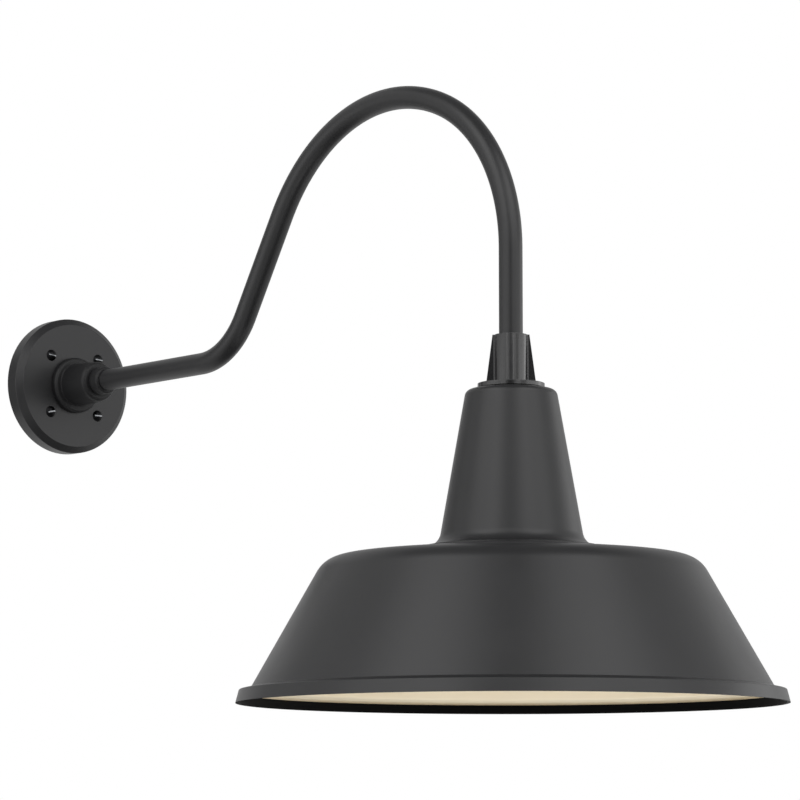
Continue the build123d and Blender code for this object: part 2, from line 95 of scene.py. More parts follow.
# %% Helpers for materials
def linear(hex_colour):
    """Linear RGBA of an sRGB hex colour such as #2A2A2B."""
    channels = [int(hex_colour[i:i + 2], 16) / 255 for i in (1, 3, 5)]
    return [c / 12.92 if c <= 0.04045 else ((c + 0.055) / 1.055) ** 2.4 for c in channels] + [1.0]


def add(tree, kind, settings={}, inputs={}):
    """Add a node. Inputs, by name or number, are plain values or sockets of other nodes to link."""
    node = tree.nodes.new(kind)
    for name, value in settings.items():
        setattr(node, name, value)
    for name, value in inputs.items():
        if isinstance(value, bpy.types.NodeSocket):
            tree.links.new(value, node.inputs[name])
        else:
            node.inputs[name].default_value = value
    return node


def surface(name, **values):
    """New material with a principled shader. Returns the material, its tree and the shader."""
    material = bpy.data.materials.new(name)
    material.use_nodes = True
    tree = material.node_tree
    shader = tree.nodes["Principled BSDF"]
    for socket, value in values.items():
        shader.inputs[socket.replace("_", " ")].default_value = value
    return material, tree, shader


def per_mm(size):
    """Texture scale that makes one feature about this many millimetres across."""
    return 1 / (size * MM)


# %% [markdown]
# ## Black powder coat
# Arm, plate, hub, fitter and shade have a black powder coat. The powder melts to a skin with a faint orange
# peel, so the eye sees an even charcoal with broad, soft highlights. The peel is drawn 1.6 mm across, a
# little coarser than the real one, and the clouds in its polish are about 30 mm. A Bevel node rounds the
# fitter's cast edges a little in the shading, so that they catch a thin line of light.

# %% Make the powder coat
def powder_coat(name, dark, light, roughness, gloss, edge_mm=0.0):
    """Melted skin of powder: clouds in colour and polish, fine bumps and, where wanted, rounded edges."""
    material, tree, shader = surface(name, IOR=1.5, Specular_IOR_Level=gloss)
    place = add(tree, "ShaderNodeTexCoord").outputs["Object"]
    cloud = add(tree, "ShaderNodeTexNoise", {}, {"Vector": place, "Scale": per_mm(30), "Detail": 3.0})
    colour = add(tree, "ShaderNodeMix", {"data_type": "RGBA"},
                 {0: cloud.outputs["Fac"], 6: linear(dark), 7: linear(light)})
    sheen = add(tree, "ShaderNodeMapRange", {},
                {"Value": cloud.outputs["Fac"], "To Min": roughness - 0.04, "To Max": roughness + 0.04})
    peel = add(tree, "ShaderNodeTexNoise", {}, {"Vector": place, "Scale": per_mm(1.6), "Detail": 3.0})
    bump = add(tree, "ShaderNodeBump", {},
               {"Height": peel.outputs["Fac"], "Strength": 0.3, "Distance": 0.1 * MM})
    if edge_mm:
        edge = add(tree, "ShaderNodeBevel", {"samples": 8}, {"Radius": edge_mm * MM})
        tree.links.new(edge.outputs["Normal"], bump.inputs["Normal"])
    tree.links.new(colour.outputs[2], shader.inputs["Base Color"])
    tree.links.new(sheen.outputs["Result"], shader.inputs["Roughness"])
    tree.links.new(bump.outputs["Normal"], shader.inputs["Normal"])
    return material


# Satin charcoal on the plate and the arm
coat = powder_coat("satin_black_powder_coat", "#19191A", "#1E1E1F", 0.38, 0.3)
# Glossier on the fitter, with crisp bright and dark stripes
cast_coat = powder_coat("semi_gloss_black_powder_coat", "#141415", "#19191A", 0.2, 0.5, edge_mm=0.45)
# Duller on the hub and its collar, and a darker black there as painted shade
hub_coat_painted_shade = powder_coat("dull_black_coat_painted_shade", "#131314", "#181819", 0.5, 0.2)
print("made", coat.name, "and two like it")

# %% [markdown]
# ## Spun sheet
# The shade is spun on a lathe, and its skin shows faint rings where the roller pressed the sheet, about
# 3 mm apart. The outside has the arm's black. The inside is baked enamel, a warm cream-white that throws
# the light down. The folded hem along the rim is painted black, and here it is drawn flat and deeper than
# the outside, as painted shade inside the rim.

# %% Add the lathe's rings
def with_rings(material, strength):
    """Shallow rings about the shade's axis, added on top of a coat's own bumps."""
    tree = material.node_tree
    shader = tree.nodes["Principled BSDF"]
    place = add(tree, "ShaderNodeTexCoord").outputs["Object"]
    across = add(tree, "ShaderNodeVectorMath", {"operation": "MULTIPLY_ADD"},
                 {0: place, 1: (1, 1, 0), 2: (0, -drop_y, 0)})
    radius = add(tree, "ShaderNodeVectorMath", {"operation": "LENGTH"}, {0: across.outputs["Vector"]})
    height = add(tree, "ShaderNodeSeparateXYZ", {}, {"Vector": place})
    along = add(tree, "ShaderNodeMath", {"operation": "SUBTRACT"},
                {0: radius.outputs["Value"], 1: height.outputs["Z"]})
    ring = add(tree, "ShaderNodeTexNoise", {"noise_dimensions": "1D"},
               {"W": along.outputs["Value"], "Scale": per_mm(3.0), "Detail": 1.0})
    bump = add(tree, "ShaderNodeBump", {},
               {"Height": ring.outputs["Fac"], "Strength": strength, "Distance": 0.1 * MM,
                "Normal": shader.inputs["Normal"].links[0].from_socket})
    tree.links.new(bump.outputs["Normal"], shader.inputs["Normal"])
    return material


spun_coat = with_rings(powder_coat("satin_black_on_spun_sheet", "#19191A", "#1E1E1F", 0.38, 0.3), 0.06)
enamel = with_rings(powder_coat("baked_cream_enamel", "#EFE1C4", "#F3E7CE", 0.32, 0.5), 0.12)
# The hem's black paint is real. Drawing it deeper and duller than the outside is painted shade inside the rim.
hem_black_painted_shade = powder_coat("black_hem_painted_shade", "#050505", "#080808", 0.55, 0.03)
print("made", spun_coat.name, "and", enamel.name, "with rings, and", hem_black_painted_shade.name)

# %% [markdown]
# ## Plain metals
# The screws that show are black oxide: almost black, with a dull gleam, and their slots are a brighter
# bare steel, a painted glint. The hidden nuts, washers and strap are zinc plated, a pale bluish grey. The
# earthing screw is dyed green, the electrical parts are warm yellow brass, and the bulb's cap is a whiter,
# smoother nickel. Each has small clouds in its colour and polish.

# %% Make the metals
def cloudy_metal(name, dark, light, roughness, cloud_mm):
    """Metal with clouds in its colour and polish, and a grain of 0.4 mm, coarser than the real one."""
    material, tree, shader = surface(name, Metallic=1.0)
    place = add(tree, "ShaderNodeTexCoord").outputs["Object"]
    cloud = add(tree, "ShaderNodeTexNoise", {}, {"Vector": place, "Scale": per_mm(cloud_mm), "Detail": 4.0})
    colour = add(tree, "ShaderNodeMix", {"data_type": "RGBA"},
                 {0: cloud.outputs["Fac"], 6: linear(dark), 7: linear(light)})
    sheen = add(tree, "ShaderNodeMapRange", {},
                {"Value": cloud.outputs["Fac"], "To Min": roughness + 0.08, "To Max": roughness - 0.08})
    grain = add(tree, "ShaderNodeTexNoise", {}, {"Vector": place, "Scale": per_mm(0.4), "Detail": 1.0})
    bump = add(tree, "ShaderNodeBump", {},
               {"Height": grain.outputs["Fac"], "Strength": 0.1, "Distance": 0.02 * MM})
    tree.links.new(colour.outputs[2], shader.inputs["Base Color"])
    tree.links.new(sheen.outputs["Result"], shader.inputs["Roughness"])
    tree.links.new(bump.outputs["Normal"], shader.inputs["Normal"])
    return material


black_oxide = cloudy_metal("black_oxide_steel", "#121213", "#1C1C1D", 0.38, 3.0)
# Brighter bare steel for the screw slots, where it stands for a painted glint of light
slot_glint_steel = cloudy_metal("bare_steel_painted_glint", "#6E7072", "#8C8E90", 0.34, 2.0)
zinc = cloudy_metal("zinc_plated_steel", "#A9ADB2", "#C6C9CC", 0.32, 4.0)
green_zinc = cloudy_metal("green_dyed_zinc", "#1F6B34", "#2F8A46", 0.35, 3.0)
brass = cloudy_metal("plain_brass", "#B08A3C", "#D0AC5C", 0.30, 5.0)
nickel = cloudy_metal("nickel_plated_cap", "#B9B6AE", "#D2CFC7", 0.24, 6.0)
print("made 6 metals")

# %% [markdown]
# ## Rubber, plastic, porcelain and glass
# The gaskets are foam rubber, dull black with pores of about a millimetre. The cable and its leads have a
# smooth vinyl skin, and the bushings are natural nylon, milky and a little waxy. The lamp socket is glazed
# porcelain with a wet shine, and the bulb is thin clear glass round a stem that carries yellow filament
# sticks.

# %% Make the other finishes
def skinned(name, dark, light, roughness, grain_mm, depth_mm, **values):
    """Material whose colour, polish and height follow one grain."""
    material, tree, shader = surface(name, **values)
    place = add(tree, "ShaderNodeTexCoord").outputs["Object"]
    grain = add(tree, "ShaderNodeTexNoise", {}, {"Vector": place, "Scale": per_mm(grain_mm), "Detail": 3.0})
    colour = add(tree, "ShaderNodeMix", {"data_type": "RGBA"},
                 {0: grain.outputs["Fac"], 6: linear(dark), 7: linear(light)})
    sheen = add(tree, "ShaderNodeMapRange", {},
                {"Value": grain.outputs["Fac"], "To Min": roughness - 0.05, "To Max": roughness + 0.05})
    bump = add(tree, "ShaderNodeBump", {}, {"Height": grain.outputs["Fac"], "Strength": 0.4,
                                            "Distance": depth_mm * MM})
    tree.links.new(colour.outputs[2], shader.inputs["Base Color"])
    tree.links.new(sheen.outputs["Result"], shader.inputs["Roughness"])
    tree.links.new(bump.outputs["Normal"], shader.inputs["Normal"])
    return material


foam_rubber = skinned("foam_rubber", "#161616", "#2A2A2A", 0.90, 0.8, 0.20)
black_vinyl = skinned("black_vinyl", "#161617", "#1E1E1F", 0.50, 1.5, 0.02)
white_vinyl = skinned("white_vinyl", "#DEDCD4", "#E9E7E0", 0.45, 1.5, 0.02)
nylon = skinned("natural_nylon", "#D3CEBF", "#DEDACD", 0.45, 2.0, 0.02, IOR=1.53)
porcelain = skinned("glazed_porcelain", "#E9E4D8", "#F0ECE2", 0.14, 6.0, 0.03, IOR=1.54)
vitrite = skinned("black_glass_insulator", "#0C0B0D", "#151317", 0.15, 2.0, 0.02, IOR=1.6)
phosphor = skinned("phosphor_filament", "#D9A62E", "#EBC04E", 0.60, 0.8, 0.05)
clear_glass = skinned("clear_soda_glass", "#E2E7E5", "#EBEFED", 0.06, 20.0, 0.02, IOR=1.52,
                      Transmission_Weight=1.0)
print("made 8 other finishes")

# %% [markdown]
# ## Dress the CAD nodes
# Each CAD node keeps its shape and gets one finish, by name.

# %% Give every node its finish
FINISHES = {
    coat: ["backplate", "gooseneck_arm"],
    # Hub and collar: a duller coat, with a darker black that is painted shade
    hub_coat_painted_shade: ["arm_hub", "arm_collar"],
    cast_coat: ["fitter"],
    spun_coat: ["shade_neck", "shade_bowl"],
    black_oxide: ["plate_screws", "hub_set_screw", "fitter_set_screw"],
    zinc: ["hub_washer", "hub_nut", "nipple", "nipple_washer", "nipple_nut", "socket_strap", "strap_screws"],
    green_zinc: ["ground_screw"],
    brass: ["socket_shell", "socket_contact", "socket_terminals", "terminal_screws", "bulb_button"],
    nickel: ["bulb_cap"],
    foam_rubber: ["wall_gasket", "fitter_seal"],
    black_vinyl: ["arm_cable", "live_lead"],
    white_vinyl: ["neutral_lead"],
    nylon: ["hub_bushing", "nipple_bushing"],
    porcelain: ["socket_body"],
    vitrite: ["bulb_insulator"],
    phosphor: ["bulb_filaments"],
    clear_glass: ["bulb_glass", "bulb_stem"],
}
for finish, names in FINISHES.items():
    for name in names:
        nodes[name].data.materials.clear()
        nodes[name].data.materials.append(finish)
print("dressed", sum(len(names) for names in FINISHES.values()), "nodes")

# %% [markdown]
# ## Pieces grown by Geometry Nodes
# Some pieces follow a rule: a tube along its bends, a thread round a rod, four equal screws on a square.
# For these a node tree is built here in the script, run once, and its result is kept as a plain mesh, which
# the export needs. One function starts a tree with named inputs, a second one draws a curve, and a third
# runs the tree on it.

# %% Helpers for Geometry Nodes
def start_tree(name, inputs):
    """Empty geometry tree with named inputs. Returns the tree and its two end nodes."""
    tree = bpy.data.node_groups.new(name, "GeometryNodeTree")
    tree.interface.new_socket("Geometry", in_out="INPUT", socket_type="NodeSocketGeometry")
    for label, kind in inputs.items():
        tree.interface.new_socket(label, in_out="INPUT", socket_type="NodeSocket" + kind)
    tree.interface.new_socket("Geometry", in_out="OUTPUT", socket_type="NodeSocketGeometry")
    return tree, add(tree, "NodeGroupInput"), add(tree, "NodeGroupOutput")


def drawn(name, lines):
    """Curve of straight steps through each list of points. A fourth number scales what is swept there."""
    curve = bpy.data.curves.new(name, "CURVE")
    curve.dimensions = "3D"
    for line in lines:
        spline = curve.splines.new("POLY")
        spline.points.add(len(line) - 1)
        for point, (x, y, z, *scale) in zip(spline.points, line):
            point.co = (x, y, z, 1.0)
            point.radius = scale[0] if scale else 1.0
    return curve


def grown(name, curve, tree, values, sharp_angle):
    """Run a tree on a curve and keep the mesh as a new piece."""
    seed = bpy.data.objects.new(name + "_line", curve)
    bpy.context.scene.collection.objects.link(seed)
    modifier = seed.modifiers.new(tree.name, "NODES")
    modifier.node_group = tree
    sockets = {item.name: item.identifier for item in tree.interface.items_tree if item.in_out == "INPUT"}
    for label, value in values.items():
        modifier[sockets[label]] = value
    view = bpy.context.evaluated_depsgraph_get()
    mesh = bpy.data.meshes.new_from_object(seed.evaluated_get(view), depsgraph=view)
    seed.modifiers.remove(modifier)
    bpy.data.objects.remove(seed)
    mesh.name = name
    used = {face.material_index for face in mesh.polygons}
    for empty in [slot for slot in range(len(mesh.materials)) if slot not in used][::-1]:
        mesh.materials.pop(index=empty)
    mesh.shade_smooth()
    mesh.set_sharp_from_angle(angle=math.radians(sharp_angle))
    piece = bpy.data.objects.new(name, mesh)
    bpy.context.scene.collection.objects.link(piece)
    print(name, "has", len(mesh.polygons), "faces")
    return piece


# %% [markdown]
# ## The gooseneck arm
# The arm is one tube, bent cold over three rollers. A sweep of a circle along the bent line is the natural
# way: the line is walked like a drawing turtle, straight runs and turns, and Curve to Mesh carries the
# circle along it. Solidify then gives the tube its wall. Two shallow grooves take the points of the set
# screws.

# %% Walk the arm's line
ARM_RUN = 212 * MM
BENDS = [(74 * MM, 58, 96 * MM), (167 * MM, -83, 0.0), (142 * MM, -65, 0.0)]
TUBE_WALL = 2 * MM
GROOVE_WIDTH = 3.4 * MM
GROOVE_DEPTH = 0.9 * MM
HUB_SCREW_OUT = 40.8 * MM
FITTER_SCREW_UP = 15 * MM
arm_low, arm_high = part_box("gooseneck_arm")
tube_radius = (arm_high.x - arm_low.x) / 2


def arm_walk(runs):
    """Points of the arm's centre line from (length, turn in degrees, scale) steps, from the hub outwards."""
    place, heading = Vector((0, arm_high.y, 0)), 0.0
    points = [(*place, runs[0][2])]
    for length, turn, scale in runs:
        steps = max(1, math.ceil(abs(turn) / 1.5))
        for step in range(steps):
            heading += math.radians(turn) / steps / 2
            place = place + Vector((0, -math.cos(heading), math.sin(heading))) * length / steps
            heading += math.radians(turn) / steps / 2
            points.append((*place, scale))
    return points


def grooved(before, after):
    """Straight run with one groove, between two plain lengths."""
    narrow, edge = 1 - GROOVE_DEPTH / tube_radius, 0.02 * MM
    return [(before - GROOVE_WIDTH / 2, 0, 1), (edge, 0, narrow), (GROOVE_WIDTH - edge, 0, narrow),
            (edge, 0, 1), (after - GROOVE_WIDTH / 2 - edge, 0, 1)]


bent = []
for radius, turn, run in BENDS:
    bent.append((radius * math.radians(abs(turn)), turn, 1))
    if run:
        bent.append((run, 0, 1))
hub_end = grooved(HUB_SCREW_OUT + arm_high.y, ARM_RUN - HUB_SCREW_OUT)
drop_length = arm_walk(hub_end + bent)[-1][2] - arm_low.z
arm_steps = hub_end + bent + grooved(drop_length - FITTER_SCREW_UP, FITTER_SCREW_UP)
arm_points = arm_walk(arm_steps)
arm_line = drawn("arm_line", [arm_points])
print("arm ends at", [round(c, 4) for c in arm_points[-1][:3]], "after a drop of", round(drop_length, 4))

# %% Sweep the tube
tube_tree, tube_in, tube_out = start_tree("swept_tube", {
    "Radius": "Float", "Around": "Int", "Finish": "Material"})
hoop = add(tube_tree, "GeometryNodeCurvePrimitiveCircle", {},
           {"Radius": tube_in.outputs["Radius"], "Resolution": tube_in.outputs["Around"]})
swept = add(tube_tree, "GeometryNodeCurveToMesh", {},
            {"Curve": tube_in.outputs["Geometry"], "Profile Curve": hoop.outputs["Curve"]})
whole = add(tube_tree, "GeometryNodeRealizeInstances", {}, {"Geometry": swept.outputs["Mesh"]})
painted = add(tube_tree, "GeometryNodeSetMaterial", {},
              {"Geometry": whole.outputs["Geometry"], "Material": tube_in.outputs["Finish"]})
tube_tree.links.new(painted.outputs["Geometry"], tube_out.inputs["Geometry"])
print("the tube is swept by", len(tube_tree.nodes), "nodes")

# %% Make the arm's tube
arm_tube = grown("arm_tube", arm_line, tube_tree, {"Radius": tube_radius, "Around": 64, "Finish": coat}, 40)
wall = arm_tube.modifiers.new("wall", "SOLIDIFY")
wall.thickness = TUBE_WALL
wall.offset = -1
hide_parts("gooseneck_arm")
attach(arm_tube, "arm")

# %% [markdown]
# ## The shade
# Neck and bowl are spun: a disc of aluminium sheet turns on a lathe and is pressed over a form. A lathe is
# also the way to make them here. The outer line is drawn with its rounded corners, a second line follows it
# at the sheet's thickness, and Curve to Mesh carries the closed outline round a very small circle. The tree
# then asks which way each face looks, to paint the outside, the inside and the hem.

# %% Draw rounded lines
SHEET = 1.3 * MM


def rounded(corners):
    """Line through (across, along, rounding) corners, with an arc of short steps at each rounded one."""
    spots = [Vector(corner[:2]) for corner in corners]
    line = [spots[0]]
    for before, spot, after, corner in zip(spots, spots[1:], spots[2:], corners[1:]):
        come, leave = (spot - before).normalized(), (after - spot).normalized()
        bend = come.angle_signed(leave)
        reach = corner[2] * math.tan(abs(bend) / 2)
        steps = max(1, math.ceil(math.degrees(abs(bend)) / 4))
        for step in range(steps + 1):
            share = step / steps * abs(bend)
            along = corner[2] * math.sin(share) - reach
            aside = corner[2] * (1 - math.cos(share))
            side = Vector((come.y, -come.x)) if bend > 0 else Vector((-come.y, come.x))
            line.append(spot + along * come + aside * side)
    return line + [spots[-1]]


def beside(line, distance):
    """The same line, moved to its right by a distance."""
    moved = []
    for i, spot in enumerate(line):
        come = (spot - line[i - 1]).normalized() if i else (line[1] - spot).normalized()
        leave = (line[i + 1] - spot).normalized() if i + 1 < len(line) else come
        middle = (come + leave).normalized()
        moved.append(spot + Vector((middle.y, -middle.x)) * distance / middle.dot(come))
    return moved


# %% Draw the neck and the bowl
NECK_HOLE = 8.8 * MM
NECK_TOP = (35.9 * MM, 6.0 * MM)
NECK_FOOT = (57.9 * MM, 13.0 * MM)
neck_low, neck_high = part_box("shade_neck")
lip_radius = (neck_high.x - neck_low.x) / 2
neck_outer = rounded([(NECK_HOLE, neck_high.z), (NECK_TOP[0], neck_high.z, NECK_TOP[1]),
                      (NECK_FOOT[0], neck_low.z + SHEET, NECK_FOOT[1]), (lip_radius, neck_low.z + SHEET)])
neck_outline = neck_outer + beside(neck_outer, SHEET)[::-1]

SEAT_LAP = 4.8 * MM
SEAT_MARGIN = 1.5 * MM
SHOULDER = (147.2 * MM, 7.8 * MM, 24.0 * MM)
SKIRT_HEIGHT = 101.2 * MM
RIM_HEIGHT = 9.9 * MM
RIM_FLARE = 2.7 * MM
STEP_WIDTH = 9.4 * MM
STEP_FALL = 2.0 * MM
RIM_ROUND = 1.2 * MM
HEM_HEIGHT = 7.2 * MM
bowl_low, bowl_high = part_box("shade_bowl")
rim_radius = (bowl_high.x - bowl_low.x) / 2
shoulder_z = bowl_high.z - SHOULDER[1]
skirt_end = shoulder_z - SKIRT_HEIGHT
step_radius = rim_radius - RIM_FLARE
hem_top = bowl_low.z + HEM_HEIGHT
hem_radius = rim_radius - RIM_FLARE * HEM_HEIGHT / RIM_HEIGHT
bowl_outer = rounded([(lip_radius - SEAT_LAP, bowl_high.z),
                      (lip_radius + SEAT_MARGIN, bowl_high.z, SHOULDER[2]),
                      (SHOULDER[0], shoulder_z, SHOULDER[2]),
                      (step_radius - STEP_WIDTH, skirt_end, RIM_ROUND),
                      (step_radius, skirt_end - STEP_FALL, RIM_ROUND), (rim_radius, bowl_low.z)])
hem = [Vector((rim_radius - 2 * SHEET, bowl_low.z)), Vector((hem_radius - 2 * SHEET, hem_top)),
       Vector((hem_radius - SHEET, hem_top))]
bowl_outline = bowl_outer + hem + [spot for spot in beside(bowl_outer, SHEET)[::-1] if spot.y > hem_top]
print("the rim is", round(2 * rim_radius / MM), "mm across, and the hem", HEM_HEIGHT / MM, "mm high")

# %% Build the tree for spun sheet
PIN_RADIUS = 0.001 * MM
spun_tree, spun_in, spun_out = start_tree("spun_sheet", {
    "Around": "Int", "Place": "Vector", "Hem Top": "Float", "Outside": "Material", "Inside": "Material",
    "Hem": "Material"})
size = spun_in.outputs
pin = add(spun_tree, "GeometryNodeCurvePrimitiveCircle", {},
          {"Radius": PIN_RADIUS, "Resolution": size["Around"]})
turned = add(spun_tree, "GeometryNodeCurveToMesh", {},
             {"Curve": pin.outputs["Curve"], "Profile Curve": size["Geometry"]})
hung = add(spun_tree, "GeometryNodeTransform", {},
           {"Geometry": turned.outputs["Mesh"], "Translation": size["Place"]})
whole = add(spun_tree, "GeometryNodeRealizeInstances", {}, {"Geometry": hung.outputs["Geometry"]})
print("the sheet is turned by", len(spun_tree.nodes), "nodes")

# %% Tell the sheet's two sides and the hem apart
spot = add(spun_tree, "GeometryNodeInputPosition").outputs[0]
from_axis = add(spun_tree, "ShaderNodeVectorMath", {"operation": "SUBTRACT"}, {0: spot, 1: size["Place"]})
across = add(spun_tree, "ShaderNodeVectorMath", {"operation": "MULTIPLY"},
             {0: from_axis.outputs[0], 1: (1, 1, 0)})
radial = add(spun_tree, "ShaderNodeVectorMath", {"operation": "NORMALIZE"}, {0: across.outputs[0]})
outward = add(spun_tree, "ShaderNodeVectorMath", {"operation": "ADD"}, {0: radial.outputs[0], 1: (0, 0, 1)})
facing = add(spun_tree, "ShaderNodeVectorMath", {"operation": "DOT_PRODUCT"},
             {0: outward.outputs[0], 1: add(spun_tree, "GeometryNodeInputNormal").outputs[0]})
inner = add(spun_tree, "ShaderNodeMath", {"operation": "LESS_THAN"}, {0: facing.outputs["Value"], 1: 0.0})
height = add(spun_tree, "ShaderNodeSeparateXYZ", {}, {0: spot})
low = add(spun_tree, "ShaderNodeMath", {"operation": "LESS_THAN"},
          {0: height.outputs["Z"], 1: size["Hem Top"]})
low_inner = add(spun_tree, "ShaderNodeMath", {"operation": "MULTIPLY"},
                {0: inner.outputs[0], 1: low.outputs[0]})
print("faces that look in and down are the inside, and the hem is below z =", round(hem_top, 4))

# %% Paint the sheet
black = add(spun_tree, "GeometryNodeSetMaterial", {},
            {"Geometry": whole.outputs["Geometry"], "Material": size["Outside"]})
cream = add(spun_tree, "GeometryNodeSetMaterial", {},
            {"Geometry": black.outputs["Geometry"], "Selection": inner.outputs[0], "Material": size["Inside"]})
# The hem gets its black paint, drawn deeper as painted shade inside the rim
hemmed = add(spun_tree, "GeometryNodeSetMaterial", {},
             {"Geometry": cream.outputs["Geometry"], "Selection": low_inner.outputs[0],
              "Material": size["Hem"]})
spun_tree.links.new(hemmed.outputs["Geometry"], spun_out.inputs["Geometry"])
print("three finishes on one sheet, by", len(spun_tree.nodes), "nodes")

# %% Spin the neck and the bowl
SPINNINGS = [("spun_neck", neck_outline, "shade_neck"), ("spun_bowl", bowl_outline, "shade_bowl")]
for name, outline, node in SPINNINGS:
    line = drawn(name + "_outline", [[(spot.x, -spot.y, 0) for spot in outline]])
    line.splines[0].use_cyclic_u = True
    spinning = grown(name, line, spun_tree,
                     {"Around": 160, "Place": (0, drop_y, 0), "Hem Top": hem_top, "Outside": spun_coat,
                      "Inside": enamel, "Hem": hem_black_painted_shade}, 30)
    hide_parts(node)
    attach(spinning, "shade")

# %% [markdown]
# ## Turned pieces with a thread
# Screws, the nipple and the bulb's cap are turned pieces with a thread. The plain parts are a profile
# carried round a very small circle, which is how Curve to Mesh does a lathe's work. The thread is a flat
# grid that is rolled up round the axis: its radius rises and falls with the angle and the height together,
# so the crest climbs in a helix.

# %% Turn the plain part and lay out the thread's grid
THREAD_SIZES = {"Around": "Int", "Rows": "Int", "Root Radius": "Float", "Crest": "Float", "Pitch": "Float",
                "Thread Top": "Float", "Thread Length": "Float"}
lathe_tree, lathe_in, lathe_out = start_tree("turned_with_thread", THREAD_SIZES)
size = lathe_in.outputs
pin = add(lathe_tree, "GeometryNodeCurvePrimitiveCircle", {},
          {"Radius": PIN_RADIUS, "Resolution": size["Around"]})
plain = add(lathe_tree, "GeometryNodeCurveToMesh", {},
            {"Curve": pin.outputs["Curve"], "Profile Curve": size["Geometry"]})
columns = add(lathe_tree, "ShaderNodeMath", {"operation": "ADD"}, {0: size["Around"], 1: 1.0})
flat = add(lathe_tree, "GeometryNodeMeshGrid", {},
           {"Size X": 2 * math.pi, "Size Y": size["Thread Length"], "Vertices X": columns.outputs[0],
            "Vertices Y": size["Rows"]})
print("profile turned, and a flat grid laid out, by", len(lathe_tree.nodes), "nodes")

# %% Work out the thread's height
spot = add(lathe_tree, "ShaderNodeSeparateXYZ", {},
           {0: add(lathe_tree, "GeometryNodeInputPosition").outputs[0]})
angle, along = spot.outputs["X"], spot.outputs["Y"]
climb = add(lathe_tree, "ShaderNodeMath", {"operation": "DIVIDE"}, {0: -2 * math.pi, 1: size["Pitch"]})
phase = add(lathe_tree, "ShaderNodeMath", {"operation": "MULTIPLY_ADD"},
            {0: along, 1: climb.outputs[0], 2: angle})
wave = add(lathe_tree, "ShaderNodeMath", {"operation": "COSINE"}, {0: phase.outputs[0]})
wave = add(lathe_tree, "ShaderNodeMath", {"operation": "MULTIPLY_ADD"},
           {0: wave.outputs[0], 1: 0.5, 2: 0.5})
middle = add(lathe_tree, "ShaderNodeMath", {"operation": "ABSOLUTE"}, {0: along})
half = add(lathe_tree, "ShaderNodeMath", {"operation": "MULTIPLY"}, {0: size["Thread Length"], 1: 0.5})
to_end = add(lathe_tree, "ShaderNodeMath", {"operation": "SUBTRACT"},
             {0: half.outputs[0], 1: middle.outputs[0]})
fade = add(lathe_tree, "ShaderNodeMath", {"operation": "DIVIDE", "use_clamp": True},
           {0: to_end.outputs[0], 1: size["Pitch"]})
ridge = add(lathe_tree, "ShaderNodeMath", {"operation": "MULTIPLY"},
            {0: wave.outputs[0], 1: fade.outputs[0]})
reach = add(lathe_tree, "ShaderNodeMath", {"operation": "MULTIPLY_ADD"},
            {0: ridge.outputs[0], 1: size["Crest"], 2: size["Root Radius"]})
print("the crest fades out over one pitch at each end")

# %% Roll the grid up and join it to the plain part
cosine = add(lathe_tree, "ShaderNodeMath", {"operation": "COSINE"}, {0: angle})
sine = add(lathe_tree, "ShaderNodeMath", {"operation": "SINE"}, {0: angle})
rolled_x = add(lathe_tree, "ShaderNodeMath", {"operation": "MULTIPLY"},
               {0: reach.outputs[0], 1: cosine.outputs[0]})
rolled_y = add(lathe_tree, "ShaderNodeMath", {"operation": "MULTIPLY"},
               {0: reach.outputs[0], 1: sine.outputs[0]})
lift = add(lathe_tree, "ShaderNodeMath", {"operation": "SUBTRACT"},
           {0: size["Thread Top"], 1: half.outputs[0]})
rolled_z = add(lathe_tree, "ShaderNodeMath", {"operation": "ADD"}, {0: along, 1: lift.outputs[0]})
rolled = add(lathe_tree, "ShaderNodeCombineXYZ", {},
             {"X": rolled_x.outputs[0], "Y": rolled_y.outputs[0], "Z": rolled_z.outputs[0]})
thread = add(lathe_tree, "GeometryNodeSetPosition", {},
             {"Geometry": flat.outputs["Mesh"], "Position": rolled.outputs["Vector"]})
both = add(lathe_tree, "GeometryNodeJoinGeometry", {}, {0: plain.outputs["Mesh"]})
lathe_tree.links.new(thread.outputs["Geometry"], both.inputs[0])
closed = add(lathe_tree, "GeometryNodeMergeByDistance", {},
             {"Geometry": both.outputs[0], "Distance": 0.005 * MM})
lathe_tree.links.new(closed.outputs["Geometry"], lathe_out.inputs["Geometry"])
print("the thread is rolled by", len(lathe_tree.nodes), "nodes")

# %% Build the tree for one turned piece
turned_tree, turned_in, turned_out = start_tree("turned_piece",
                                                {**THREAD_SIZES, "Place": "Vector", "Finish": "Material"})
turned = add(turned_tree, "GeometryNodeGroup", {"node_tree": lathe_tree},
             {label: turned_in.outputs[label] for label in ["Geometry", *THREAD_SIZES]})
stood = add(turned_tree, "GeometryNodeTransform", {},
            {"Geometry": turned.outputs["Geometry"], "Translation": turned_in.outputs["Place"]})
whole = add(turned_tree, "GeometryNodeRealizeInstances", {}, {"Geometry": stood.outputs["Geometry"]})
painted = add(turned_tree, "GeometryNodeSetMaterial", {},
              {"Geometry": whole.outputs["Geometry"], "Material": turned_in.outputs["Finish"]})
turned_tree.links.new(painted.outputs["Geometry"], turned_out.inputs["Geometry"])
print("a turned piece takes", len(turned_tree.interface.items_tree) - 2, "inputs")

# %% Turn the nipple
def profile(name, *lines):
    """Lathe profile from lists of (radius, height) points. Curve to Mesh wants the height upside down."""
    return drawn(name, [[(radius, -height, 0) for radius, height in line] for line in lines])


